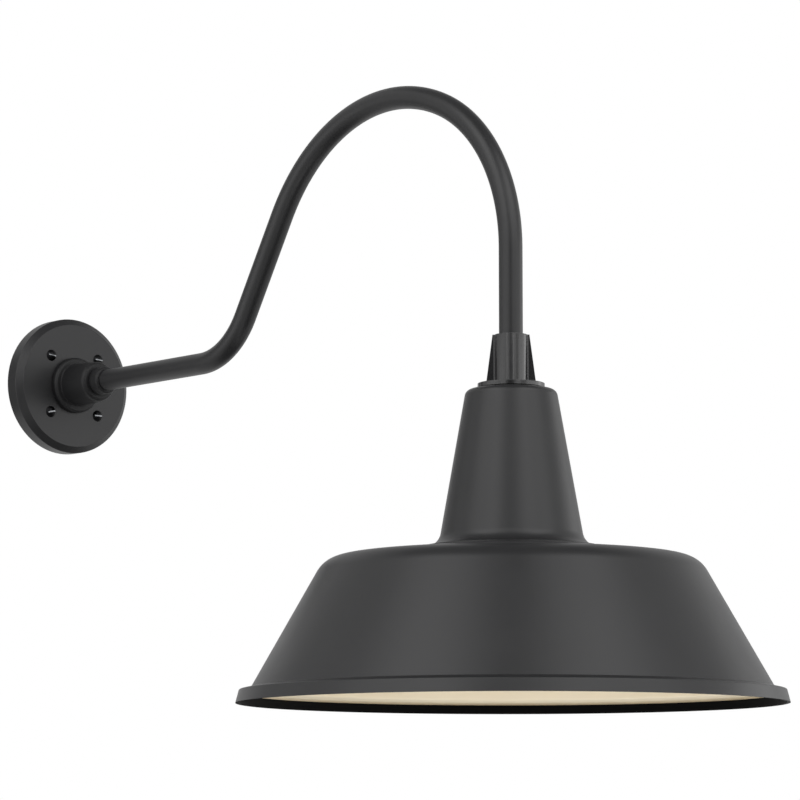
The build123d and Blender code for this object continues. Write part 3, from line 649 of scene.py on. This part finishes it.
NIPPLE_CREST = 0.55 * MM
NIPPLE_BORE = 12 * MM
NIPPLE_PITCH = 1.4 * MM
nipple_low, nipple_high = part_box("nipple")
nipple_root = (nipple_high.x - nipple_low.x) / 2 - NIPPLE_CREST
nipple_length = nipple_high.z - nipple_low.z
nipple_line = profile("nipple_line", [(nipple_root, nipple_low.z), (NIPPLE_BORE / 2, nipple_low.z),
                                      (NIPPLE_BORE / 2, nipple_high.z), (nipple_root, nipple_high.z)])
nipple_tube = grown("nipple_tube", nipple_line, turned_tree,
                    {"Around": 64, "Rows": round(8 * nipple_length / NIPPLE_PITCH), "Root Radius": nipple_root,
                     "Crest": NIPPLE_CREST, "Pitch": NIPPLE_PITCH, "Thread Top": nipple_high.z,
                     "Thread Length": nipple_length, "Place": (0, drop_y, 0), "Finish": zinc}, 50)
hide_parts("nipple")
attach(nipple_tube, "shade")

# %% [markdown]
# ## The bulb's cap
# The cap is thin nickel-plated brass, rolled into a coarse, round thread that climbs 3.6 mm a turn. The CAD
# shows it as rings, which is enough to measure, and here it becomes a real helix over a plain skirt.

# %% Turn the bulb's cap
CAP_PITCH = 3.6 * MM
CAP_TURNS = 5
CAP_CREST = 0.7 * MM
CAP_WALL = 0.6 * MM
CAP_TOP_RADIUS = 9.5 * MM
CAP_TOP_WALL = 3 * MM
cap_low, cap_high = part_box("bulb_cap")
cap_root = (cap_high.x - cap_low.x) / 2 - CAP_CREST
cap_inner = cap_root - CAP_WALL
cap_thread_top = cap_high.z - CAP_PITCH / 4
cap_thread_end = cap_high.z - CAP_PITCH * CAP_TURNS
cap_line = profile("cap_line", [(0, cap_high.z), (CAP_TOP_RADIUS, cap_high.z), (cap_root, cap_thread_top)],
                   [(cap_root, cap_thread_end), (cap_root, cap_low.z), (cap_inner, cap_low.z),
                    (cap_inner, cap_high.z - CAP_TOP_WALL), (0, cap_high.z - CAP_TOP_WALL)])
cap_shell = grown("cap_shell", cap_line, turned_tree,
                  {"Around": 96, "Rows": 64, "Root Radius": cap_root, "Crest": CAP_CREST, "Pitch": CAP_PITCH,
                   "Thread Top": cap_thread_top, "Thread Length": cap_thread_top - cap_thread_end,
                   "Place": (0, drop_y, 0), "Finish": nickel}, 50)
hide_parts("bulb_cap")
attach(cap_shell, "bulb")

# %% [markdown]
# ## The plate's screws
# Four equal slotted screws hold the plate, at the corners of a square. Their heads are black oxide, and the
# slots are a brighter bare steel, a painted glint. One screw is turned and slotted in the tree, and Instance
# on Points sets it on the corners of a small grid, each with its own turn. A stored mark keeps the slot's
# faces for the second finish, the painted glint.

# %% Turn one screw and cut its slot
screw_tree, screw_in, screw_out = start_tree("slotted_screws", {
    **THREAD_SIZES, "Head Width": "Float", "Head Height": "Float", "Slot Width": "Float",
    "Slot Depth": "Float", "Square": "Float", "Face Out": "Float", "Finish": "Material",
    "Slot Finish": "Material"})
size = screw_in.outputs
turned = add(screw_tree, "GeometryNodeGroup", {"node_tree": lathe_tree},
             {label: size[label] for label in ["Geometry", *THREAD_SIZES]})
cut_depth = add(screw_tree, "ShaderNodeMath", {"operation": "MULTIPLY"}, {0: size["Slot Depth"], 1: 2.0})
cutter_size = add(screw_tree, "ShaderNodeCombineXYZ", {},
                  {"X": size["Head Width"], "Y": size["Slot Width"], "Z": cut_depth.outputs[0]})
cutter = add(screw_tree, "GeometryNodeMeshCube", {}, {"Size": cutter_size.outputs["Vector"]})
cutter_place = add(screw_tree, "ShaderNodeCombineXYZ", {}, {"Z": size["Head Height"]})
cutter = add(screw_tree, "GeometryNodeTransform", {},
             {"Geometry": cutter.outputs["Mesh"], "Translation": cutter_place.outputs["Vector"]})
slotted = add(screw_tree, "GeometryNodeMeshBoolean", {"operation": "DIFFERENCE"},
              {"Mesh 1": turned.outputs["Geometry"], "Mesh 2": cutter.outputs["Geometry"]})
print("one screw is turned and slotted by", len(screw_tree.nodes), "nodes")

# %% Mark the slot's faces
MARK_MARGIN = 0.01 * MM
spot = add(screw_tree, "ShaderNodeSeparateXYZ", {},
           {0: add(screw_tree, "GeometryNodeInputPosition").outputs[0]})
off_line = add(screw_tree, "ShaderNodeMath", {"operation": "ABSOLUTE"}, {0: spot.outputs["Y"]})
half_slot = add(screw_tree, "ShaderNodeMath", {"operation": "MULTIPLY_ADD"},
                {0: size["Slot Width"], 1: 0.5, 2: MARK_MARGIN})
between = add(screw_tree, "ShaderNodeMath", {"operation": "LESS_THAN"},
              {0: off_line.outputs[0], 1: half_slot.outputs[0]})
bottom = add(screw_tree, "ShaderNodeMath", {"operation": "SUBTRACT"},
             {0: size["Head Height"], 1: size["Slot Depth"]})
bottom = add(screw_tree, "ShaderNodeMath", {"operation": "SUBTRACT"},
             {0: bottom.outputs[0], 1: MARK_MARGIN})
over = add(screw_tree, "ShaderNodeMath", {"operation": "GREATER_THAN"},
           {0: spot.outputs["Z"], 1: bottom.outputs[0]})
in_slot = add(screw_tree, "ShaderNodeMath", {"operation": "MULTIPLY"},
              {0: between.outputs[0], 1: over.outputs[0]})
marked = add(screw_tree, "GeometryNodeStoreNamedAttribute", {"data_type": "BOOLEAN", "domain": "FACE"},
             {"Geometry": slotted.outputs["Mesh"], "Name": "slot", "Value": in_slot.outputs[0]})
print("the slot's faces are kept under the name slot")

# %% Set the screw on the four corners
SLOT_TURNS = [11, -9, -1, -5]
corners = add(screw_tree, "GeometryNodeMeshGrid", {},
              {"Size X": size["Square"], "Size Y": size["Square"], "Vertices X": 2, "Vertices Y": 2})
to_wall = add(screw_tree, "ShaderNodeMath", {"operation": "MULTIPLY"}, {0: size["Face Out"], 1: -1.0})
on_face = add(screw_tree, "ShaderNodeCombineXYZ", {}, {"Y": to_wall.outputs[0]})
corners = add(screw_tree, "GeometryNodeTransform", {},
              {"Geometry": corners.outputs["Mesh"], "Translation": on_face.outputs["Vector"],
               "Rotation": (math.pi / 2, 0, 0)})
turns = add(screw_tree, "GeometryNodeIndexSwitch", {"data_type": "FLOAT"},
            {"Index": add(screw_tree, "GeometryNodeInputIndex").outputs[0]})
while len(turns.index_switch_items) < len(SLOT_TURNS):
    turns.index_switch_items.new()
for number, turn in enumerate(SLOT_TURNS):
    turns.inputs[1 + number].default_value = math.radians(-turn)
facing = add(screw_tree, "ShaderNodeCombineXYZ", {}, {"X": math.pi / 2, "Y": turns.outputs[0]})
driven = add(screw_tree, "GeometryNodeInstanceOnPoints", {},
             {"Points": corners.outputs["Geometry"], "Instance": marked.outputs["Geometry"],
              "Rotation": facing.outputs["Vector"]})
whole = add(screw_tree, "GeometryNodeRealizeInstances", {}, {"Geometry": driven.outputs["Instances"]})
painted = add(screw_tree, "GeometryNodeSetMaterial", {},
              {"Geometry": whole.outputs["Geometry"], "Material": size["Finish"]})
mark = add(screw_tree, "GeometryNodeInputNamedAttribute", {"data_type": "BOOLEAN"}, {"Name": "slot"})
# The marked slot faces get the brighter steel, a painted glint
slot_glint = add(screw_tree, "GeometryNodeSetMaterial", {},
             {"Geometry": painted.outputs["Geometry"], "Selection": mark.outputs[0],
              "Material": size["Slot Finish"]})
screw_tree.links.new(slot_glint.outputs["Geometry"], screw_out.inputs["Geometry"])
print("four screws, turned by", SLOT_TURNS, "degrees")

# %% Make the four screws
SCREW_SQUARE = 52 * MM
HEAD_HEIGHT = 3.4 * MM
SLOT_WIDTH = 1.2 * MM
SLOT_DEPTH = 1.5 * MM
CUT_PAST_HEAD = 1.2
DOME_STEPS = 12
SHANK_RADIUS = 2.3 * MM
TAIL_RADIUS = 2.1 * MM
TAIL_PITCH = 0.8 * MM
TAIL_CREST = 0.4 * MM
face_out = -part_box("backplate")[0].y
screws_low, screws_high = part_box("plate_screws")
tail_length = screws_high.y
head_width = screws_high.x - screws_low.x - SCREW_SQUARE
dome_radius = (head_width ** 2 / 4 + HEAD_HEIGHT ** 2) / (2 * HEAD_HEIGHT)
dome_turn = math.asin(min(1, head_width / 2 / dome_radius))
dome = []
for step in range(DOME_STEPS + 1):
    share = dome_turn * step / DOME_STEPS
    dome.append((dome_radius * math.sin(share), HEAD_HEIGHT - dome_radius * (1 - math.cos(share))))
tail_root = TAIL_RADIUS - TAIL_CREST
screw_line = profile("screw_line",
                     dome + [(SHANK_RADIUS, 0), (SHANK_RADIUS, -face_out), (tail_root, -face_out)],
                     [(tail_root, -face_out - tail_length), (0, -face_out - tail_length)])
wall_screws = grown("wall_screws", screw_line, screw_tree,
                    {"Around": 48, "Rows": round(7 * tail_length / TAIL_PITCH), "Root Radius": tail_root,
                     "Crest": TAIL_CREST, "Pitch": TAIL_PITCH, "Thread Top": -face_out,
                     "Thread Length": tail_length,
                     "Head Width": CUT_PAST_HEAD * head_width, "Head Height": HEAD_HEIGHT,
                     "Slot Width": SLOT_WIDTH, "Slot Depth": SLOT_DEPTH, "Square": SCREW_SQUARE,
                     "Face Out": face_out, "Finish": black_oxide, "Slot Finish": slot_glint_steel}, 40)
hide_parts("plate_screws")
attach(wall_screws, "wall_mount")

# %% [markdown]
# ## Floor
# A pale paper floor lies well below the light, as in a studio with a high stand. The camera sees it as
# almost plain white, so that no edge shows between floor and background, and a soft shadow still falls on
# it. Its underside is clear, so that the inside of the shade can be viewed from below the floor.

# %% Lay the floor
FLOOR_DROP = 2.6
FLOOR_RADIUS = 200.0
FLOOR_WHITE = 0.93


def looked_at(tree):
    """Socket that is 1 for what the camera, a gloss or a glass sees, and 0 for plain light."""
    rays = add(tree, "ShaderNodeLightPath").outputs
    seen = add(tree, "ShaderNodeMath", {"operation": "MAXIMUM"},
               {0: rays["Is Camera Ray"], 1: rays["Is Transmission Ray"]})
    seen = add(tree, "ShaderNodeMath", {"operation": "MAXIMUM"},
               {0: seen.outputs[0], 1: rays["Is Glossy Ray"]})
    return seen.outputs[0]


bpy.ops.mesh.primitive_circle_add(vertices=128, radius=FLOOR_RADIUS, fill_type="NGON",
                                  location=(0, drop_y, rim_bottom - FLOOR_DROP))
floor = bpy.context.object
floor.name = "floor"
paper, paper_tree, paper_shader = surface("pale_paper", Base_Color=linear("#E9E8E6"), Roughness=0.9)
share = add(paper_tree, "ShaderNodeMath", {"operation": "MULTIPLY"},
            {0: looked_at(paper_tree), 1: FLOOR_WHITE})
white = add(paper_tree, "ShaderNodeEmission", {}, {"Color": linear("#FFFFFF"), "Strength": 1.0})
mixed = add(paper_tree, "ShaderNodeMixShader", {},
            {0: share.outputs[0], 1: paper_shader.outputs["BSDF"], 2: white.outputs["Emission"]})
underside = add(paper_tree, "ShaderNodeNewGeometry").outputs["Backfacing"]
clear = add(paper_tree, "ShaderNodeBsdfTransparent")
one_sided = add(paper_tree, "ShaderNodeMixShader", {},
                {0: underside, 1: mixed.outputs["Shader"], 2: clear.outputs["BSDF"]})
paper_tree.links.new(one_sided.outputs["Shader"], paper_tree.nodes["Material Output"].inputs["Surface"])
floor.data.materials.append(paper)
print("floor at z =", round(floor.location.z, 3))

# %% [markdown]
# ## Cards round the light
# A black object mostly shows what stands round it, so its highlights tell how the studio looked: a grey
# curtain behind, a dim ceiling, and a dark patch where the camera stands. Two small black flags, left of
# the plate and below it, keep its bevel dark. Only reflections and soft light meet these cards, never the
# camera.

# %% Hang the curtain and the ceiling card
STUDIO_RADIUS = 2.8
CURTAIN_HALF_TURN = 68
CURTAIN_FOLDS = 24
CURTAIN_BOTTOM = -0.7
CURTAIN_TOP = 3.4
CEILING_HEIGHT = 2.3
CEILING_RADIUS = 2.2
CEILING_SIDES = 32
shade_middle = Vector((0, drop_y, -0.1))
to_camera = math.atan2(CAMERA_PLACE.y - drop_y, CAMERA_PLACE.x)


def card(name, corners, faces, grey):
    """Evenly glowing card. Grey 1 is as bright as the white background."""
    mesh = bpy.data.meshes.new(name)
    mesh.from_pydata(corners, [], faces)
    sheet = bpy.data.objects.new(name, mesh)
    bpy.context.scene.collection.objects.link(sheet)
    sheet.visible_camera = False
    sheet.visible_transmission = False
    sheet.visible_shadow = False
    cloth, _, _ = surface(name + "_cloth", Base_Color=linear("#000000"), Roughness=1.0, Specular_IOR_Level=0.0,
                          Emission_Color=linear("#FFFFFF"), Emission_Strength=grey)
    mesh.materials.append(cloth)


folds = []
for step in range(CURTAIN_FOLDS + 1):
    turn = to_camera + math.pi + math.radians(CURTAIN_HALF_TURN) * (2 * step / CURTAIN_FOLDS - 1)
    x, y = STUDIO_RADIUS * math.cos(turn), drop_y + STUDIO_RADIUS * math.sin(turn)
    folds += [(x, y, CURTAIN_BOTTOM), (x, y, CURTAIN_TOP)]
card("curtain", folds, [(2 * i, 2 * i + 1, 2 * i + 3, 2 * i + 2) for i in range(CURTAIN_FOLDS)], 0.72)
disc = []
for step in range(CEILING_SIDES):
    turn = 2 * math.pi * step / CEILING_SIDES
    disc.append((CEILING_RADIUS * math.cos(turn), drop_y + CEILING_RADIUS * math.sin(turn), CEILING_HEIGHT))
card("ceiling_card", disc, [tuple(range(CEILING_SIDES))], 0.3)
print("hung the curtain and the ceiling card")

# %% Set up the dark flags
SIDE_FLAG_X = -0.45
SIDE_FLAG_Y = (0.45, 1.4)
SIDE_FLAG_Z = (-0.4, 0.6)
LOW_FLAG_X = (-0.4, 0.45)
LOW_FLAG_Y = (-0.38, -0.05)
LOW_FLAG_Z = -0.4
FOUR_CORNERS = [(0, 1, 3, 2)]


def flag(name, turns, slopes, grey):
    """Card between two turns from the camera's direction and between two slopes, as the shade sees them."""
    corners = []
    for turn in turns:
        angle = to_camera + math.radians(turn)
        for slope in slopes:
            way = Vector((math.cos(angle), math.sin(angle), math.tan(math.radians(slope))))
            corners.append(shade_middle + STUDIO_RADIUS * way)
    card(name, corners, FOUR_CORNERS, grey)


flag("camera_flag", (-20, 20), (-16, 10), 0.12)
flag("camera_mast", (-6, 4), (10, 27), 0.15)
card("side_flag", [(SIDE_FLAG_X, y, z) for y in SIDE_FLAG_Y for z in SIDE_FLAG_Z], FOUR_CORNERS, 0.1)
card("low_flag", [(x, y, LOW_FLAG_Z) for x in LOW_FLAG_X for y in LOW_FLAG_Y], FOUR_CORNERS, 0.1)
print("set up four flags")

# %% [markdown]
# ## Softboxes
# Two large softboxes stand left and right of the camera, so that every upright round form shows a pair of
# soft bands with a darker line between. Smaller ones fill the front, long strips draw the edges, and a
# white board on the floor throws light up into the shade.

# %% Hang the softboxes
LIGHT_DISTANCE = 2.45


def softbox(name, turn, lift, width, length, brightness):
    """Area light aimed at the shade, by its turn right of the camera and its lift. Brightness 1 is white."""
    angle, slope = to_camera + math.radians(turn), math.radians(lift)
    lamp = bpy.data.lights.new(name, "AREA")
    lamp.shape = "RECTANGLE"
    lamp.size = width
    lamp.size_y = length
    lamp.energy = brightness * math.pi * width * length
    light = bpy.data.objects.new(name, lamp)
    aim = Vector((math.cos(slope) * math.cos(angle), math.cos(slope) * math.sin(angle), math.sin(slope)))
    light.location = shade_middle + LIGHT_DISTANCE * aim
    light.rotation_euler = (-aim).to_track_quat("-Z", "Y").to_euler()
    light.visible_camera = False
    light.visible_transmission = False
    bpy.context.scene.collection.objects.link(light)


softbox("left_key", -50, 38, 2.1, 2.3, 1.65)
softbox("right_key", 50, 38, 2.1, 2.3, 1.75)
softbox("upper_left_key", -46, 52, 1.4, 1.2, 1.2)
softbox("upper_right_key", 46, 52, 1.4, 1.2, 1.2)
softbox("left_fill", -26, 22, 0.9, 1.3, 1.4)
softbox("right_fill", 21, 22, 0.9, 1.3, 1.7)
softbox("top_fill", 0, 38, 0.7, 0.6, 2.0)
softbox("left_strip", -66, -3, 2.4, 1.0, 1.55)
softbox("right_strip", 92, 0, 4.0, 1.0, 1.8)
softbox("right_back", 122, 11, 1.2, 1.0, 1.0)
softbox("floor_board", 0, -85, 3.2, 3.2, 1.1)
print("hung eleven softboxes")

# %% [markdown]
# ## World
# The white background is the world's own colour, for what the camera, a gloss or a glass sees. The world
# lights the rest more gently, so that the black stays deep.

# %% Colour the world
AMBIENT = 0.35
world = bpy.data.worlds.new("white_studio")
bpy.context.scene.world = world
world.use_nodes = True
sky = world.node_tree
strength = add(sky, "ShaderNodeMapRange", {}, {"Value": looked_at(sky), "To Min": AMBIENT, "To Max": 1.0})
background = sky.nodes["Background"]
background.inputs["Color"].default_value = linear("#FFFFFF")
sky.links.new(strength.outputs["Result"], background.inputs["Strength"])
bpy.context.scene.view_settings.view_transform = "Standard"
print("world lights the object at", AMBIENT)
